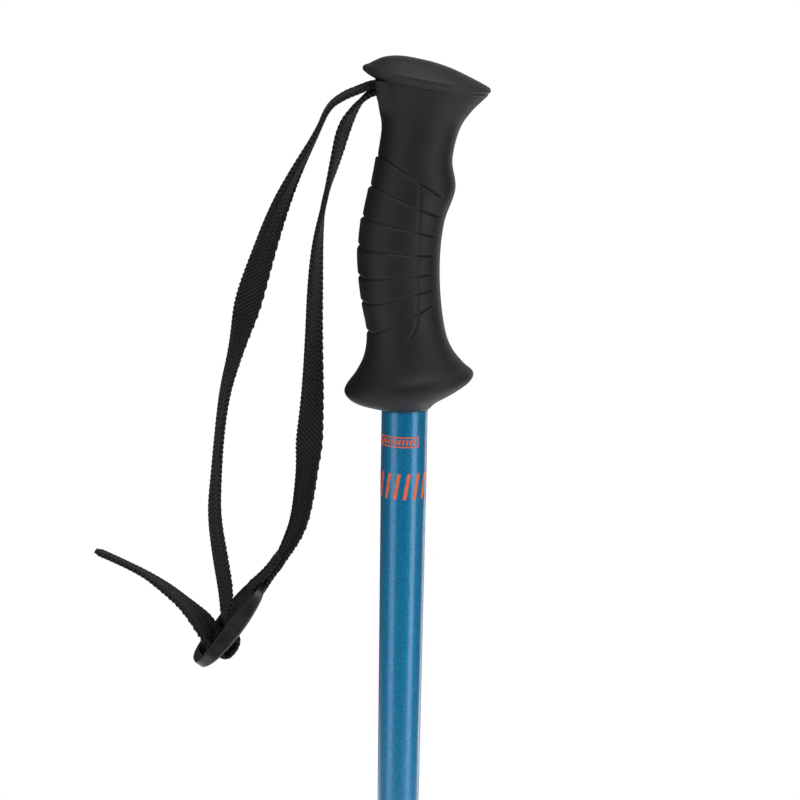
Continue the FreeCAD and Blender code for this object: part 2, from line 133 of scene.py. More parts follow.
# The screw's recess in the cap, in metres.
RECESS_RADIUS, RECESS_FLOOR, RECESS_CUT = 0.0028, 0.8962, 0.006

# Webbing: each row is x, y, z of the centre line and the twist in degrees about it.
ROOT = [(-6.0, 0, 890.9, -8), (8.0, 0, 887.9, 0), (7.7, 0, 885.75, 0), (-5.8, 0, 888.1, -8)]
ADJUSTING = [
    (-6.0, 0, 890.9, -8), (-12.0, 0, 890.5, -9), (-16.9, 0, 888.5, -9), (-22.3, 0, 886.3, -9),
    (-27.4, 0, 882.6, -4), (-30.8, 0, 874.3, 0), (-37.9, 0, 861.2, 18), (-44.15, 0, 847.4, 38),
    (-50.2, 0, 829.2, 56),
    (-53.5, 0, 818.5, 84), (-56.4, 0, 807.5, 130), (-58.9, 0, 797.5, 150), (-62.3, 0, 785.0, 158),
    (-64.2, 0, 770.5, 161), (-65.5, 0, 754.0, 157), (-66.3, 0, 740.5, 149), (-64.2, 0, 725.5, 145),
    (-61.9, 0, 711.0, 155),
]
TAIL = [(-67.8, -2.4, 699.0, 125), (-75.6, -3, 708.0, 170), (-82.8, -3, 714.3, 177), (-93.2, -3, 721.4, 194),
        (-107.6, -3, 727.6, 190)]
FIXED = [
    (-5.8, 888.1, -8), (-11.6, 888.3, -8), (-15.6, 885.6, -2), (-18.7, 881.8, 10), (-22.0, 875.8, 25),
    (-24.6, 865.2, 16), (-28.5, 851.0, -8), (-30.6, 838.0, 14), (-31.4, 822.0, 28), (-31.7, 804.0, 33),
    (-32.0, 785.0, 48), (-32.8, 771.0, 68), (-33.6, 760.0, 122), (-34.6, 749.5, 130), (-36.5, 737.5, 139),
]
FIXED_PIVOT = (-12.4, 888.2)
FIXED_LEAN = math.radians(1.4)
# In the buckle's own frame: along its length, above its middle, and the twist.
THREADED = [(-2.0, 1.4, 180), (-3.0, -6.6, 180), (-11.8, -7.0, 180), (-12.0, -0.6, 180), (-10.2, 2.6, 155)]
FOLD = [(33.6, -0.6, 165), (26.0, -1.6, 175), (20.5, -1.8, 180), (12.4, -2.4, 180), (12.8, 1.7, 180),
        (17.8, 0.4, 180), (23.0, -0.5, 180), (29.0, -0.15, 176)]
FOLD_TILT = math.radians(-3)
BUCKLE_CENTRE = np.array((-60.5, 0.0, 701.9))
BUCKLE_ALONG = np.array((0.5808, 0.1923, 0.7910))
BUCKLE_ACROSS = np.array((-0.2262, 0.9715, -0.0701))
BUCKLE_ABOVE = np.cross(BUCKLE_ALONG, BUCKLE_ACROSS)
WEBBING_WIDTH = 9.3
WEBBING_THICKNESS = 1.65
WEBBING_STEP, WEBBING_COLUMNS = 0.25, 72
RIB_PITCH = 1.7
EDGE_PITCH = 1.75
# Where each side leaves the head and how long it is, in metres.
FREE_EXIT, FREE_LENGTH = (-0.0124, 0, 0.8906), 0.288
SEWN_EXIT, SEWN_LENGTH = (-0.0124, 0, 0.8882), 0.212

# The buckle lies along its own axes. Its ends, half width and corners, then its windows' ends, half width
# and corners.
BUCKLE_LOW, BUCKLE_HIGH, BUCKLE_HALF_WIDTH, BUCKLE_CORNER = -19.2, 18.1, 8.5, 7.0
LONG_WINDOW, SHORT_WINDOW = (-5.8, 14.9), (-15.6, -8.9)
WINDOW_HALF_WIDTH, WINDOW_CORNER = 6.2, 2.0
BUCKLE_ROUNDING, BUCKLE_EXTRUDE, BUCKLE_VOXEL = 0.75, 2.4, 0.26
# The bow of its upper and lower faces: how far each lies from the middle, and how flat its curve is.
OVER_RISE, OVER_CURVE = 2.35, 130
UNDER_RISE, UNDER_CURVE = 3.9, 137
# The recess for the sewn fold: where it begins and ends along the buckle, and where its side lies.
RECESS_ALONG, RECESS_SIDE = (14.0, 15.0), (4.9, 5.6)

# The bar tack: the heights of its two faces, its rows and its zigzag.
TACK_HEIGHTS = (0.86, -2.5)
TACK_ROWS, TACK_FIRST_ROW, TACK_ROW_GAP = 5, -1.3, 0.65
TACK_POINTS, TACK_HALF_WIDTH, TACK_WOBBLE, THREAD_RADIUS = 23, 4.0, 0.22, 0.16

# The printed marks on the shaft: radii of their outer and inner faces, and the shaft's own.
SHAFT_RADIUS, PRINT_OUTER, PRINT_INNER = 8.0, 8.05, 7.97
# The frame: the arc its long sides cover, the arcs its short sides begin at, the heights of its long sides
# and the width of its line.
FRAME_ARC, FRAME_SIDES, FRAME_HEIGHTS, FRAME_LINE = (-9.8, 5.4), (-9.8, 4.95), (767.5, 770.8), 0.45
# Rows of bars: how many, the first one's arc, the pitch, the heights and the slant.
BAR_ROWS = [
    (10, -8.8, -8.1, 1.32, 768.5, 770.3, 0.5),
    (8, -14.2, -13.0, 3.5, 749.0, 758.2, 1.6),
]

# The camera: degrees down, degrees rolled, metres away and the focal length.
CAMERA_PITCH, CAMERA_ROLL, CAMERA_DISTANCE, CAMERA_LENS = 11.7, 0.95, 0.620, 80.6
# Soft boxes: name, azimuth, height, distance, width, height of the panel and power.
SOFT_BOXES = [
    ("soft_box_left", -52, 0.85, 1.3, 0.7, 1.6, 6.5),
    ("soft_box_right", 55, 0.85, 1.3, 0.6, 1.6, 9),
    ("soft_box_rim", 142, 0.85, 1.3, 0.5, 1.6, 4),
    ("soft_box_behind", 178, 0.85, 1.5, 0.6, 1.6, 3),
    ("soft_box_top", 30, 2.1, 0.35, 1.0, 1.0, 14),
]
LIGHTS_AIM = (0, 0, 0.72)
FLOOR_REACH = 1.3


# ---------------------------------------------------------------- camera, light and floor

def make_camera():
    grip_low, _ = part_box("grip")
    aim = Vector((-0.00165, 0, grip_low[2] + 0.0027))
    pitch, roll = math.radians(CAMERA_PITCH), math.radians(CAMERA_ROLL)
    data = bpy.data.cameras.new("camera")
    data.sensor_width = 36.0
    data.lens = CAMERA_LENS
    data.clip_start = 0.01
    camera = bpy.data.objects.new("camera", data)
    ahead = Vector((0, math.cos(pitch), -math.sin(pitch)))
    turn = Matrix.Rotation(math.pi / 2 - pitch, 4, "X") @ Matrix.Rotation(roll, 4, "Z")
    camera.matrix_world = Matrix.Translation(aim - ahead * CAMERA_DISTANCE) @ turn
    bpy.context.collection.objects.link(camera)
    bpy.context.scene.camera = camera


def make_light(name, azimuth, height, distance, width, tall, power):
    """A soft box: azimuth 0 is the camera's side and 90 is the +X side."""
    data = bpy.data.lights.new(name, "AREA")
    data.shape = "RECTANGLE"
    data.size, data.size_y, data.energy = width, tall, power
    lamp = bpy.data.objects.new(name, data)
    side = math.radians(azimuth)
    spot = Vector((math.sin(side) * distance, -math.cos(side) * distance, height))
    lamp.location = spot
    lamp.rotation_mode = "QUATERNION"
    lamp.rotation_quaternion = (Vector(LIGHTS_AIM) - spot).to_track_quat("-Z", "Y")
    bpy.context.collection.objects.link(lamp)


def make_stage():
    world = bpy.data.worlds.new("studio")
    world.use_nodes = True
    tree = world.node_tree
    sky = tree.nodes["Background"]
    sky.inputs["Color"].default_value = (1, 1, 1, 1)
    seen = tree.nodes.new("ShaderNodeLightPath").outputs["Is Camera Ray"]
    strength = tree.nodes.new("ShaderNodeMapRange")
    strength.inputs["To Min"].default_value = 0.09
    strength.inputs["To Max"].default_value = 1.0
    tree.links.new(seen, strength.inputs["Value"])
    tree.links.new(strength.outputs["Result"], sky.inputs["Strength"])
    bpy.context.scene.world = world
    bpy.context.scene.view_settings.view_transform = "Standard"
    mesh = bpy.data.meshes.new("floor")
    corners = [(-1, -1), (1, -1), (1, 1), (-1, 1)]
    mesh.from_pydata([(x * FLOOR_REACH, y * FLOOR_REACH, 0) for x, y in corners], [], [(0, 1, 2, 3)])
    floor = bpy.data.objects.new("floor", mesh)
    bpy.context.collection.objects.link(floor)
    mesh.materials.append(floor_material())
    for soft_box in SOFT_BOXES:
        make_light(*soft_box)


# ---------------------------------------------------------------- material helpers

class Nodes:
    """A material's node tree with short calls for the few nodes that are used."""

    def __init__(self, name, **values):
        self.material = bpy.data.materials.new(name)
        self.material.use_nodes = True
        self.tree = self.material.node_tree
        self.shader = self.tree.nodes["Principled BSDF"]
        for key, value in values.items():
            self.shader.inputs[key.replace("_", " ").title().replace("Ior", "IOR")].default_value = value

    def add(self, kind, settings=None, **inputs):
        """A node whose inputs are given by name, or as i0, i1... by number."""
        node = self.tree.nodes.new(kind)
        for key, value in (settings or {}).items():
            setattr(node, key, value)
        for key, value in inputs.items():
            socket = node.inputs[int(key[1:])] if key[1:].isdigit() else node.inputs[key.replace("_", " ")]
            if isinstance(value, bpy.types.NodeSocket):
                self.tree.links.new(value, socket)
            else:
                socket.default_value = value
        return node

    def place(self):
        return self.add("ShaderNodeTexCoord").outputs["Object"]

    def noise(self, where, scale, detail=3.0, rough=0.5):
        made = self.add("ShaderNodeTexNoise", Vector=where, Scale=scale, Detail=detail, Roughness=rough)
        return made.outputs["Fac"]

    def math(self, how, a, b=0.0):
        return self.add("ShaderNodeMath", {"operation": how}, i0=a, i1=b).outputs[0]

    def spread(self, value, low, high, to_low, to_high):
        made = self.add("ShaderNodeMapRange", Value=value, From_Min=low, From_Max=high, To_Min=to_low,
                        To_Max=to_high)
        return made.outputs["Result"]

    def ramp(self, value, *stops):
        made = self.add("ShaderNodeValToRGB", Fac=value)
        points = made.color_ramp.elements
        while len(points) < len(stops):
            points.new(0.5)
        for point, (spot, colour) in zip(points, stops):
            point.position = spot
            point.color = (*colour, 1)
        return made.outputs["Color"]

    def bump(self, height, distance, strength=1.0):
        made = self.add("ShaderNodeBump", Height=height, Distance=distance, Strength=strength)
        return made.outputs["Normal"]

    def use(self, **sockets):
        for key, value in sockets.items():
            self.tree.links.new(value, self.shader.inputs[key.replace("_", " ")])
        return self.material


def floor_material():
    # Painted light: the floor glows white, its emission strength rising from 0.45 near its middle to 1.0 at
    # 1.2 m out; its base colour varies at random.
    made = Nodes("floor", roughness=0.9, specular_ior_level=0.1, emission_color=(1, 1, 1, 1))
    where = made.place()
    tone = made.noise(where, 1.5)
    away = made.add("ShaderNodeVectorMath", {"operation": "LENGTH"}, i0=where).outputs["Value"]
    colour = made.ramp(tone, (0.3, (0.88, 0.88, 0.88)), (0.7, (0.9, 0.9, 0.9)))
    return made.use(Base_Color=colour, Emission_Strength=made.spread(away, 0.3, 1.2, 0.45, 1.0))


# ---------------------------------------------------------------- mesh helpers

def put(name, mesh, material, smooth=True):
    thing = bpy.data.objects.new(name, mesh)
    bpy.context.collection.objects.link(thing)
    mesh.materials.append(material)
    if smooth:
        shade_smooth(mesh)
    return thing


def shade_smooth(mesh):
    mesh.polygons.foreach_set("use_smooth", [True] * len(mesh.polygons))


def grid_mesh(name, spots):
    """A closed skin over an array of rows by columns of points: round the columns, and a fan at each end."""
    rows, columns, _ = spots.shape
    verts = spots.reshape(-1, 3)
    faces = []
    for row in range(rows - 1):
        here, above = row * columns, (row + 1) * columns
        for column in range(columns):
            after = (column + 1) % columns
            faces.append((here + column, here + after, above + after, above + column))
    mesh = bpy.data.meshes.new(name)
    low, high = len(verts), len(verts) + 1
    last = (rows - 1) * columns
    for column in range(columns):
        after = (column + 1) % columns
        faces.append((low, after, column))
        faces.append((high, last + column, last + after))
    verts = np.vstack([verts, verts[:columns].mean(axis=0), verts[-columns:].mean(axis=0)])
    mesh.from_pydata(verts.tolist(), [], faces)
    mesh.update()
    return mesh


def through(rows, positions):
    """Values on a smooth line through the rows, at positions between 0 and the last row's number."""
    rows = np.asarray(rows, float)
    gaps = np.sqrt(np.linalg.norm(np.diff(rows, axis=0), axis=1))
    slopes = np.empty_like(rows)
    rate = np.diff(rows, axis=0) / gaps[:, None]
    slopes[1:-1] = (rate[:-1] * gaps[1:, None] + rate[1:] * gaps[:-1, None]) / (gaps[1:] + gaps[:-1])[:, None]
    slopes[0], slopes[-1] = rate[0], rate[-1]
    index = np.clip(np.floor(positions).astype(int), 0, len(rows) - 2)
    t = (positions - index)[:, None]
    gap = gaps[index][:, None]
    a, b, da, db = rows[index], rows[index + 1], slopes[index] * gap, slopes[index + 1] * gap
    return ((2 * t**3 - 3 * t**2 + 1) * a + (t**3 - 2 * t**2 + t) * da
            + (3 * t**2 - 2 * t**3) * b + (t**3 - t**2) * db)


def even_positions(rows, spacing):
    """Positions along the line through the sections, at a spacing that depends on the rear point's height."""
    fine = np.linspace(0, len(rows) - 1, 4000)
    line = through(rows, fine)
    steps = np.hypot(np.diff(line[:, 0]), np.diff(line[:, 1]))
    steps = np.maximum(steps, np.hypot(np.diff(line[:, 2]), np.diff(line[:, 3])))
    middle = (line[1:] + line[:-1]) / 2
    density = np.array([1 / spacing(row[1]) for row in middle])
    total = np.concatenate([[0], np.cumsum(steps * density)])
    return np.interp(np.arange(math.ceil(total[-1]) + 1) * total[-1] / math.ceil(total[-1]), total, fine)


def section_skin(sections, positions, columns):
    """Rows of points on ellipses, each from a rear point to a front point."""
    values = through(sections, positions)
    angle = np.linspace(0, 2 * math.pi, columns, endpoint=False)
    forward = (1 - np.cos(angle)) / 2
    rear_x, rear_z, front_x, front_z, half = (values[:, i][:, None] for i in range(5))
    x = rear_x + (front_x - rear_x) * forward
    z = rear_z + (front_z - rear_z) * forward
    y = half * np.sin(angle) * -1
    return np.stack([x, y, z], axis=-1)


def skin_normals(spots):
    """Outward directions at the points of a skin that is closed across its columns."""
    across = np.roll(spots, -1, axis=1) - np.roll(spots, 1, axis=1)
    along = np.gradient(spots, axis=0)
    normal = np.cross(across, along)
    normal /= np.linalg.norm(normal, axis=-1, keepdims=True) + 1e-12
    middle = spots.mean(axis=1, keepdims=True)
    outward = np.sign(np.sum((spots - middle) * normal))
    return normal * outward


def polyline_distance(x, z, line):
    """Distance in the X-Z plane from points to a line of straight runs."""
    best = np.full(x.shape, 1e9)
    for (ax, az), (bx, bz) in zip(line, line[1:]):
        length = math.hypot(bx - ax, bz - az)
        t = np.clip(((x - ax) * (bx - ax) + (z - az) * (bz - az)) / length**2, 0, 1)
        gap = np.hypot(x - ax - t * (bx - ax), z - az - t * (bz - az))
        best = np.where(gap < best, gap, best)
    return best


def smooth_step(value, low, high):
    t = np.clip((value - low) / (high - low), 0, 1)
    return t * t * (3 - 2 * t)


# ---------------------------------------------------------------- webbing

def nurbs_values(rows):
    """Points along the order-3 NURBS curve whose control points are the rows, three numbers each."""
    curve = bpy.data.curves.new("route", "CURVE")
    curve.dimensions = "3D"
    curve.resolution_u = 24
    spline = curve.splines.new("NURBS")
    spline.points.add(len(rows) - 1)
    for point, row in zip(spline.points, rows):
        point.co = (*row, 1)
    spline.order_u = 3
    spline.use_endpoint_u = True
    thing = bpy.data.objects.new("route", curve)
    mesh = bpy.data.meshes.new_from_object(thing)
    values = np.array([vert.co[:] for vert in mesh.vertices])
    bpy.data.objects.remove(thing)
    bpy.data.curves.remove(curve)
    bpy.data.meshes.remove(mesh)
    return values


def webbing_line(route, spacing):
    """Evenly spaced points, twists and shares on a route, with the distance along it.

    A share says how far the webbing's width has turned from Y to the buckle's own width.
    """
    spots = nurbs_values([row[:3] for row in route])
    extra = nurbs_values([(row[3] / 100, row[4], 0) for row in route])
    walked = np.concatenate([[0], np.cumsum(np.linalg.norm(np.diff(spots, axis=0), axis=1))])
    at = np.linspace(0, walked[-1], int(walked[-1] / spacing) + 1)
    line = np.stack([np.interp(at, walked, spots[:, i]) for i in range(3)], axis=1)
    twist = np.radians(np.interp(at, walked, extra[:, 0]) * 100)
    share = np.interp(at, walked, extra[:, 1])
    return line, twist, share, at


def webbing_profile(columns):
    """Across the webbing and up from its middle, once round, as shares of half its width and thickness."""
    angle = np.linspace(0, 2 * math.pi, columns, endpoint=False)
    across = np.sign(np.cos(angle)) * np.abs(np.cos(angle)) ** 0.32
    up = np.sign(np.sin(angle)) * np.abs(np.sin(angle)) ** 0.5
    return across, up


def webbing_piece(name, route, material, slant=1, worn_end=False):
    """Twisted twill webbing along a route, its ribs slanted either way, and its centre line in metres."""
    line, twist, share, at = webbing_line(route, WEBBING_STEP)
    tangent = np.gradient(line, axis=0)
    tangent /= np.linalg.norm(tangent, axis=1, keepdims=True)
    upright = (1 - share)[:, None] * np.array((0.0, 1.0, 0.0)) + share[:, None] * BUCKLE_ACROSS
    flat = upright - tangent * np.sum(upright * tangent, axis=1, keepdims=True)
    flat /= np.linalg.norm(flat, axis=1, keepdims=True)
    over = np.cross(tangent, flat)
    wide = flat * np.cos(twist)[:, None] + over * np.sin(twist)[:, None]
    thick = np.cross(tangent, wide)
    across, up = webbing_profile(WEBBING_COLUMNS)
    s = at[:, None]
    half_wide, half_thick = WEBBING_WIDTH / 2, WEBBING_THICKNESS / 2
    x = across * half_wide
    side = np.sign(up)
    near_edge = smooth_step(np.abs(across), 0.78, 0.98)
    rib = np.sin(2 * math.pi * (s + side * 0.3 + slant * x) / RIB_PITCH)
    rope = np.sin(2 * math.pi * (s / EDGE_PITCH + up * 0.35 + side * 0.2))
    lift = 0.18 * rib * (1 - near_edge) * np.abs(up) + 0.14 * rope * near_edge
    scallop = EDGE_PITCH * np.where(across > 0, 2, 1)
    bulge = 1 + 0.038 * np.sin(2 * math.pi * s / scallop) * near_edge
    fray = np.ones_like(s)
    if worn_end:
        fray = 1 - 0.35 * smooth_step(s, at[-1] - 2.2, at[-1])
        lift = lift * (1 - smooth_step(s, at[-1] - 3, at[-1]) * 0.6)
    spots = (line[:, None, :] + wide[:, None, :] * (x * bulge * fray)[..., None]
             + thick[:, None, :] * (up * half_thick * fray + lift * side)[..., None])
    mesh = grid_mesh(name, spots * MM)
    weave_uv(mesh, len(at), WEBBING_COLUMNS, at, slant * x)
    return put(name, mesh, material), line * MM


def weave_uv(mesh, rows, columns, at, x):
    """A map of the webbing in millimetres: along it, and across it."""
    layer = mesh.uv_layers.new(name="weave")
    loops = np.empty(len(mesh.loops), int)
    mesh.loops.foreach_get("vertex_index", loops)
    along = np.append(np.repeat(at, columns), (at[0], at[-1]))
    across = np.append(np.tile(x, rows), (0, 0))
    layer.data.foreach_set("uv", np.stack([along[loops], across[loops]], axis=1).ravel())


def webbing_material():
    made = Nodes("black_webbing", roughness=0.8, specular_ior_level=0.25, sheen_weight=0.06,
                 sheen_roughness=0.4)
    where = made.add("ShaderNodeUVMap", {"uv_map": "weave"}).outputs["UV"]
    parts = made.add("ShaderNodeSeparateXYZ", Vector=where)
    along, across = parts.outputs[0], parts.outputs[1]
    slant = made.math("ADD", along, across)
    rib = made.math("SINE", made.math("MULTIPLY", slant, 2 * math.pi / RIB_PITCH))
    slope = made.math("SUBTRACT", across, made.math("MULTIPLY", along, 0.35))
    yarn = made.math("SINE", made.math("MULTIPLY", slope, 2 * math.pi / 0.42))
    fuzz = made.noise(made.place(), 2600, 4.0, 0.65)
    height = made.math("ADD", made.math("MULTIPLY", rib, 0.8), made.math("MULTIPLY", yarn, 0.15))
    height = made.math("ADD", height, made.math("MULTIPLY", fuzz, 0.15))
    # Painted shade: the colour follows the weave's height, near black in the hollows between the ribs and
    # lighter on the ribs; the fuzz in it is random tone.
    tone = made.spread(height, -0.75, 0.95, 0.0, 1.0)
    colour = made.ramp(tone, (0.25, (0.0006, 0.0006, 0.0008)), (0.9, (0.0165, 0.0165, 0.0175)))
    return made.use(Base_Color=colour, Normal=made.bump(height, 0.00012))


def in_buckle(along, above, twist):
    """A route point given in the buckle's own frame, with the webbing's width along the buckle's."""
    spot = BUCKLE_CENTRE + BUCKLE_ALONG * along + BUCKLE_ABOVE * above
    return (*spot, twist, 1.0)


def leaned(x, z, twist):
    """A point of the sewn side, which hangs a little behind the other."""
    drop = z - FIXED_PIVOT[1]
    return (x, -drop * math.sin(FIXED_LEAN), FIXED_PIVOT[1] + drop * math.cos(FIXED_LEAN), twist, 0.0)


def make_webbing(buckle):
    black = webbing_material()
    root, _ = webbing_piece("webbing_root", [(*row, 0.0) for row in ROOT], black)
    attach(root, "root")
    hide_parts("strap_root")

    free_route = [(*row, 0.0) for row in ADJUSTING]
    free_route[-1] = (*ADJUSTING[-1], 0.9)
    free_route[-2] = (*ADJUSTING[-2], 0.3)
    free_route += [in_buckle(*row) for row in THREADED]
    free_route += [(*TAIL[0], 0.6)] + [(*row, 0.0) for row in TAIL[1:]]
    free_side, free_line = webbing_piece("webbing_free_side", free_route, black, worn_end=True)
    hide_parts("strap_adjusting_side", "strap_threaded_loop", "strap_tail")

    sewn_route = [leaned(*row) for row in FIXED]
    sewn_route += [in_buckle(*row) for row in FOLD]
    sewn_side, sewn_line = webbing_piece("webbing_sewn_side", sewn_route, black, slant=-1)
    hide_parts("strap_fixed_side", "strap_sewn_fold")

    for piece, line, way_out, length, far_end, mates in (
            (free_side, free_line, FREE_EXIT, FREE_LENGTH, "bare", []),
            (sewn_side, sewn_line, SEWN_EXIT, SEWN_LENGTH, "fitting", [buckle])):
        long = float(np.linalg.norm(np.diff(line, axis=0), axis=1).sum())
        print(f"{piece.name} is {long:.4f} m long")
        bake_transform(piece)


# ---------------------------------------------------------------- grip

def rubber_material(name, dark, light):
    made = Nodes(name, specular_ior_level=0.32)
    where = made.place()
    grain = made.noise(where, 1800, 3.0, 0.6)
    cloud = made.noise(where, 60, 4.0, 0.55)
    colour = made.ramp(cloud, (0.35, dark), (0.65, light))
    rough = made.spread(cloud, 0.3, 0.7, 0.5, 0.62)
    return made.use(Base_Color=colour, Roughness=rough, Normal=made.bump(grain, 0.00002, 0.6))


def slit_depth(x, z):
    """How deep the slits, the seam and the panel steps cut into the grip."""
    depth = np.zeros(x.shape)
    panel = np.zeros(x.shape)
    rear = 1 - smooth_step(x, -2.0, 3.6)
    for line, step in zip(SLITS, STEPS):
        gap = polyline_distance(x, z, line)
        beyond = smooth_step(x, line[-1][0] - 0.4, line[-1][0] + 0.4)
        sharp = smooth_step(x, 2.0, 5.0)
        back = 1 - smooth_step(x, line[0][0] + 0.5, line[0][0] + 4.0)
        wide = SLIT_WIDTH - 0.06 * sharp + 0.26 * back
        deep = SLIT_DEPTH + 0.5 * sharp + 0.2 * back
        depth = np.maximum(depth, deep * np.exp(-(gap / wide) ** 2) * (1 - beyond))
        height = np.interp(x, [spot[0] for spot in line], [spot[1] for spot in line])
        above = z - height
        panel += step * rear * np.where(above < 0, np.exp(above / 3.5), -np.exp(-above / 3.5)) * 0.5
    gap = polyline_distance(x, z, SEAM)
    fade = smooth_step(x, -11.0, -7.0)
    depth = np.maximum(depth, SEAM_DEPTH * np.exp(-(gap / SEAM_WIDTH) ** 2) * fade)
    return depth - panel


def make_grip():
    positions = even_positions(
        GRIP_SECTIONS, lambda z: FINE_ROWS if SLITS_LOW < z < SLITS_HIGH else COARSE_ROWS)
    spots = section_skin(GRIP_SECTIONS, positions, GRIP_COLUMNS)
    normal = skin_normals(spots)
    x, y, z = spots[..., 0], spots[..., 1], spots[..., 2]
    spots = spots - normal * slit_depth(x, z)[..., None]
    # The back is flat beside the mouth, and the mouth itself is pressed in behind the webbing.
    lips = (1 - smooth_step(np.abs(y), 6.6, 9.5)) * smooth_step(z, 880, 886) * (x < 0)
    spots[..., 0] += lips * (spots[:, :1, 0] - spots[..., 0])
    mouth = smooth_step(MOUTH_HALF_WIDTH - np.abs(y), 0, 0.5) * smooth_step(z, 886.7, 887.2) * (x < 0)
    spots[..., 0] += mouth * np.maximum(MOUTH_BACK - spots[..., 0], 0)
    grip = put("grip_rubber", grid_mesh("grip_rubber", spots * MM), rubber_material(
        "grip_rubber", (0.0062, 0.006, 0.0088), (0.009, 0.0087, 0.012)))
    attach(grip, "root")
    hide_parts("grip")


def make_cap():
    positions = even_positions(CAP_SECTIONS, lambda z: CAP_ROWS)
    spots = section_skin(CAP_SECTIONS, positions, CAP_COLUMNS)
    x, z = spots[..., 0], spots[..., 2]
    groove = np.zeros(x.shape)
    for line in CAP_GROOVES:
        gap = polyline_distance(x, z, line)
        groove = np.maximum(groove, 0.3 * np.exp(-(gap / 0.28) ** 2) * smooth_step(x, 13.5, 21.0))
    spots = spots - skin_normals(spots) * (groove * (positions < 6.5)[:, None])[..., None]
    reach = smooth_step(positions, 0.5, 3.0)[:, None]
    spots[..., 2] -= CAP_DROOP * reach * (spots[..., 1] / 15.8) ** 2
    cap = put("cap_shell", grid_mesh("cap_shell", spots * MM), rubber_material(
        "cap_plastic", (0.0145, 0.0142, 0.0178), (0.019, 0.0186, 0.0228)))
    low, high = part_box("cap_screw")
    middle = (Vector(low) + Vector(high)) / 2
    bpy.ops.mesh.primitive_cylinder_add(vertices=64, radius=RECESS_RADIUS, depth=RECESS_CUT,
                                        location=(middle.x, 0, RECESS_FLOOR + RECESS_CUT / 2))
    cutter = bpy.context.object
    cut = cap.modifiers.new("recess", "BOOLEAN")
    cut.operation, cut.object, cut.solver = "DIFFERENCE", cutter, "EXACT"
    apply_modifiers(cap)
    bpy.data.objects.remove(cutter)
    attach(cap, "root")
    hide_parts("grip_cap")


def apply_modifiers(thing):
    graph = bpy.context.evaluated_depsgraph_get()
    mesh = bpy.data.meshes.new_from_object(thing.evaluated_get(graph))
    thing.modifiers.clear()
    thing.data = mesh


# ---------------------------------------------------------------- buckle

def rounded_outline(low, high, half_width, radius, count=14):
    """A rounded rectangle's corners as points, once round."""
    spots = []
    left, right, side = low + radius, high - radius, half_width - radius
    corners = ((right, side, 0), (left, side, 90), (left, -side, 180), (right, -side, 270))
    for centre_x, centre_y, start in corners:
        for step in range(count + 1):
            angle = math.radians(start + 90 * step / count)
            spots.append((centre_x + radius * math.cos(angle), centre_y + radius * math.sin(angle)))
    return spots


def buckle_plate():
    """A flat plate with two windows and rounded edges, centred on its middle plane, in millimetres."""
    curve = bpy.data.curves.new("buckle", "CURVE")
    curve.dimensions = "2D"
    curve.fill_mode = "BOTH"
    inset = BUCKLE_ROUNDING
    outlines = [rounded_outline(BUCKLE_LOW + inset, BUCKLE_HIGH - inset, BUCKLE_HALF_WIDTH - inset,
                                BUCKLE_CORNER - inset)]
    for low, high in (LONG_WINDOW, SHORT_WINDOW):
        outlines.append(rounded_outline(low - inset, high + inset, WINDOW_HALF_WIDTH + inset,
                                        WINDOW_CORNER + inset))
    for outline in outlines:
        spline = curve.splines.new("POLY")
        spline.points.add(len(outline) - 1)
        for point, (x, y) in zip(spline.points, outline):
            point.co = (x, y, 0, 1)
        spline.use_cyclic_u = True
    curve.extrude = BUCKLE_EXTRUDE
    curve.bevel_depth = BUCKLE_ROUNDING
    curve.bevel_resolution = 4
    thing = bpy.data.objects.new("buckle_plate", curve)
    bpy.context.collection.objects.link(thing)
    mesh = bpy.data.meshes.new_from_object(thing)
    bpy.data.objects.remove(thing)
    return mesh


def buckle_material():
    made = Nodes("buckle_plastic", specular_ior_level=0.5)
    where = made.place()
    cloud = made.noise(where, 220, 4.0, 0.6)
    fine = made.noise(where, 2600, 2.0, 0.5)
    colour = made.ramp(cloud, (0.3, (0.006, 0.006, 0.007)), (0.7, (0.01, 0.01, 0.011)))
    rough = made.spread(cloud, 0.3, 0.7, 0.26, 0.4)
    return made.use(Base_Color=colour, Roughness=rough, Normal=made.bump(fine, 0.000012, 0.5))


def make_buckle():
    plastic = buckle_material()
    plate = put("buckle_body", buckle_plate(), plastic)
    remesh = plate.modifiers.new("remesh", "REMESH")
    remesh.mode, remesh.voxel_size, remesh.use_smooth_shade = "VOXEL", BUCKLE_VOXEL, True
    apply_modifiers(plate)
    mesh = plate.data
    spots = np.empty(len(mesh.vertices) * 3)
    mesh.vertices.foreach_get("co", spots)
    spots = spots.reshape(-1, 3)
    u, w, n = spots.T
    # The plate is bent into its bow: its upper face to one curve and its lower face to another, with a recess
    # at the upper end for the sewn fold.
    full = BUCKLE_EXTRUDE + BUCKLE_ROUNDING
    beside = 1 - smooth_step(np.abs(w), *RECESS_SIDE)
    recess = smooth_step(u, *RECESS_ALONG) * beside
    over = OVER_RISE - np.maximum(u, 0) ** 2 / OVER_CURVE - 0.1 * recess
    under = UNDER_RISE - u**2 / UNDER_CURVE - 0.9 * recess
    n = np.where(n > 0, n / full * over, n / full * under)
    spots = (BUCKLE_CENTRE + u[:, None] * BUCKLE_ALONG + w[:, None] * BUCKLE_ACROSS
             + n[:, None] * BUCKLE_ABOVE) * MM
    mesh.vertices.foreach_set("co", spots.ravel())
    mesh.update()
    soften = plate.modifiers.new("soften", "SMOOTH")
    soften.factor, soften.iterations = 0.5, 3
    apply_modifiers(plate)
    plate.data.materials.clear()
    plate.data.materials.append(plastic)
    shade_smooth(plate.data)
    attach(plate, "strap")
    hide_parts("strap_buckle")
    return plate


# ---------------------------------------------------------------- stitching

def thread_material():
    made = Nodes("black_thread", roughness=0.6, specular_ior_level=0.4)
    tone = made.noise(made.place(), 3000, 2.0)
    return made.use(Base_Color=made.ramp(tone, (0.3, (0.008, 0.008, 0.009)), (0.7, (0.02, 0.02, 0.022))),
                    Normal=made.bump(tone, 0.00004))


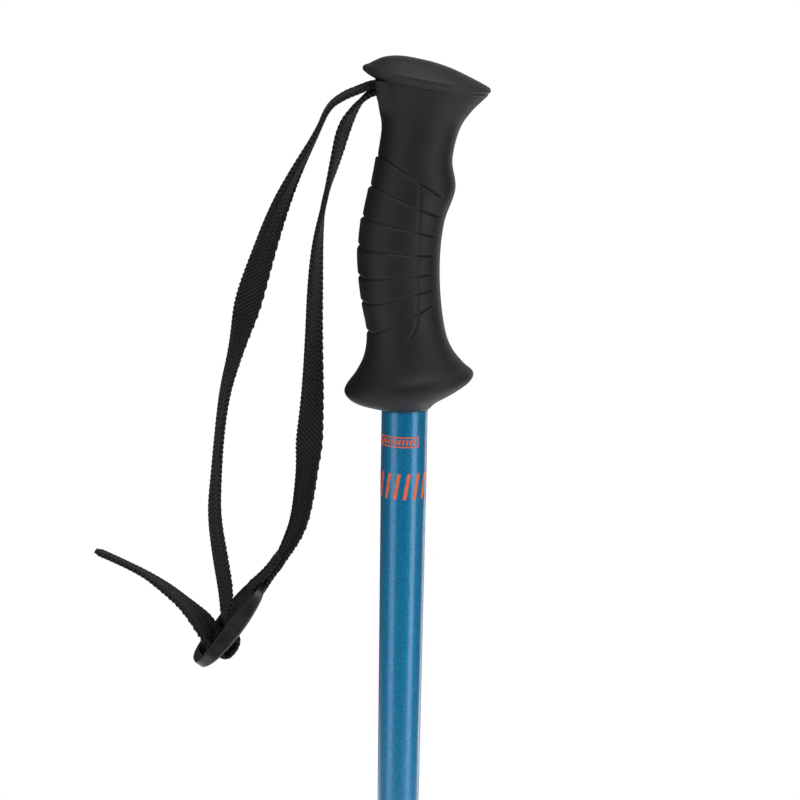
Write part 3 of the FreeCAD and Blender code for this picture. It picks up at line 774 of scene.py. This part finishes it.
def make_stitching():
    """A bar tack: rows of small zigzag stitches on both faces of the doubled webbing."""
    start, end = np.array(FOLD[-2][:2]), np.array(FOLD[-1][:2])
    middle = (start + end) / 2
    direction = (end - start) / np.linalg.norm(end - start)
    lift = np.array((-direction[1], direction[0]))
    row_way = BUCKLE_ACROSS * math.cos(FOLD_TILT) + BUCKLE_ABOVE * math.sin(FOLD_TILT)
    curve = bpy.data.curves.new("stitching", "CURVE")
    curve.dimensions = "3D"
    curve.bevel_depth = THREAD_RADIUS
    curve.bevel_resolution = 3
    for height in TACK_HEIGHTS:
        for row in range(TACK_ROWS):
            shift = TACK_FIRST_ROW + row * TACK_ROW_GAP
            spline = curve.splines.new("POLY")
            spline.points.add(TACK_POINTS - 1)
            for number, point in enumerate(spline.points):
                across = -TACK_HALF_WIDTH + 2 * TACK_HALF_WIDTH * number / (TACK_POINTS - 1)
                wobble = TACK_WOBBLE * (1 if number % 2 else -1)
                along, above = middle + direction * (shift + wobble) + lift * height
                spot = BUCKLE_CENTRE + BUCKLE_ALONG * along + row_way * across + BUCKLE_ABOVE * above
                point.co = (*spot, 1)
    thing = bpy.data.objects.new("stitching", curve)
    mesh = bpy.data.meshes.new_from_object(thing)
    bpy.data.objects.remove(thing)
    mesh.transform(Matrix.Scale(MM, 4))
    stitches = put("bar_tack", mesh, thread_material())
    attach(stitches, "strap")
    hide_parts("strap_stitching")


# ---------------------------------------------------------------- shaft, print and the small parts

def paint_material():
    made = Nodes("blue_lacquer", metallic=0.85, roughness=0.6, coat_weight=1.0, coat_roughness=0.2)
    where = made.place()
    flake = made.add("ShaderNodeTexVoronoi", Vector=where, Scale=2600.0)
    tone = made.add("ShaderNodeSeparateColor", Color=flake.outputs["Color"]).outputs[0]
    colour = made.ramp(tone, (0.0, (0.0, 0.142, 0.325)), (0.6, (0.0, 0.192, 0.395)),
                       (1.0, (0.0, 0.262, 0.46)))
    return made.use(Base_Color=colour, Normal=made.bump(tone, 0.00001, 0.4))


def print_material():
    made = Nodes("orange_print", roughness=0.45)
    tone = made.noise(made.place(), 900, 3.0)
    return made.use(Base_Color=made.ramp(tone, (0.3, (0.72, 0.10, 0.02)), (0.7, (0.85, 0.15, 0.03))))


def steel_material(name, low, high):
    made = Nodes(name, metallic=1.0)
    where = made.place()
    stretched = made.add("ShaderNodeMapping", Vector=where, Scale=(1, 1, 14)).outputs["Vector"]
    grain = made.noise(stretched, 500, 4.0)
    colour = made.ramp(grain, (0.3, (0.42, 0.42, 0.43)), (0.7, (0.58, 0.58, 0.59)))
    return made.use(Base_Color=colour, Roughness=made.spread(grain, 0.3, 0.7, low, high),
                    Normal=made.bump(grain, 0.00002, 0.5))


def plastic_material(name, dark, light):
    made = Nodes(name, specular_ior_level=0.4)
    where = made.place()
    cloud = made.noise(where, 90, 4.0, 0.6)
    fine = made.noise(where, 2200, 2.0, 0.5)
    rough = made.spread(cloud, 0.3, 0.7, 0.42, 0.55)
    return made.use(Base_Color=made.ramp(cloud, (0.3, dark), (0.7, light)), Roughness=rough,
                    Normal=made.bump(fine, 0.000015, 0.6))


def finish_node(node, material):
    thing = next(item for item in bpy.data.objects if item.get("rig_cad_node") == node)
    thing.data.materials.clear()
    thing.data.materials.append(material)


def make_print():
    """Generic marks in orange: a frame round short slanted bars, and taller slanted bars below it."""
    verts, faces = [], []

    def patch(arc_low, arc_high, z_low, z_high, slant=0.0):
        """A thin curved block on the shaft between two arc lengths and two heights."""
        cells = max(2, int((arc_high - arc_low) / 0.4) + 1)
        first = len(verts)
        for radius in (PRINT_OUTER, PRINT_INNER):
            for z, shift in ((z_low, 0.0), (z_high, slant)):
                for cell in range(cells + 1):
                    angle = (arc_low + (arc_high - arc_low) * cell / cells + shift) / SHAFT_RADIUS
                    verts.append((radius * math.sin(angle), -radius * math.cos(angle), z))
        row = cells + 1
        for cell in range(cells):
            a, b = first + cell, first + cell + 1
            faces.append((a, b, b + row, a + row))
            faces.append((b + 2 * row, a + 2 * row, a + 3 * row, b + 3 * row))
            faces.append((b, a, a + 2 * row, b + 2 * row))
            faces.append((a + row, b + row, b + 3 * row, a + 3 * row))
        for cell in (0, cells):
            a = first + cell
            faces.append((a, a + row, a + 3 * row, a + 2 * row) if cell == 0
                         else (a + row, a, a + 2 * row, a + 3 * row))

    for z_low in FRAME_HEIGHTS:
        patch(*FRAME_ARC, z_low, z_low + FRAME_LINE)
    for arc_low in FRAME_SIDES:
        patch(arc_low, arc_low + FRAME_LINE, FRAME_HEIGHTS[0] + FRAME_LINE, FRAME_HEIGHTS[1])
    for count, arc_low, arc_high, pitch, z_low, z_high, slant in BAR_ROWS:
        for number in range(count):
            patch(arc_low + number * pitch, arc_high + number * pitch, z_low, z_high, slant)
    mesh = bpy.data.meshes.new("shaft_marks")
    mesh.from_pydata([(x * MM, y * MM, z * MM) for x, y, z in verts], [], faces)
    marks = put("shaft_marks", mesh, print_material(), smooth=False)
    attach(marks, "root")


def finish_cad_nodes():
    finish_node("shaft", paint_material())
    finish_node("cap_screw", steel_material("dark_screw", 0.3, 0.45))
    finish_node("tip_ferrule",
                plastic_material("ferrule_plastic", (0.008, 0.008, 0.009), (0.012, 0.012, 0.013)))
    finish_node("steel_tip", steel_material("tip_steel", 0.22, 0.4))
    finish_node("basket", plastic_material("basket_plastic", (0.009, 0.009, 0.01), (0.014, 0.014, 0.015)))


make_camera()
buckle_piece = make_buckle()
make_webbing(buckle_piece)
make_stitching()
make_grip()
make_cap()
make_print()
finish_cad_nodes()
make_stage()
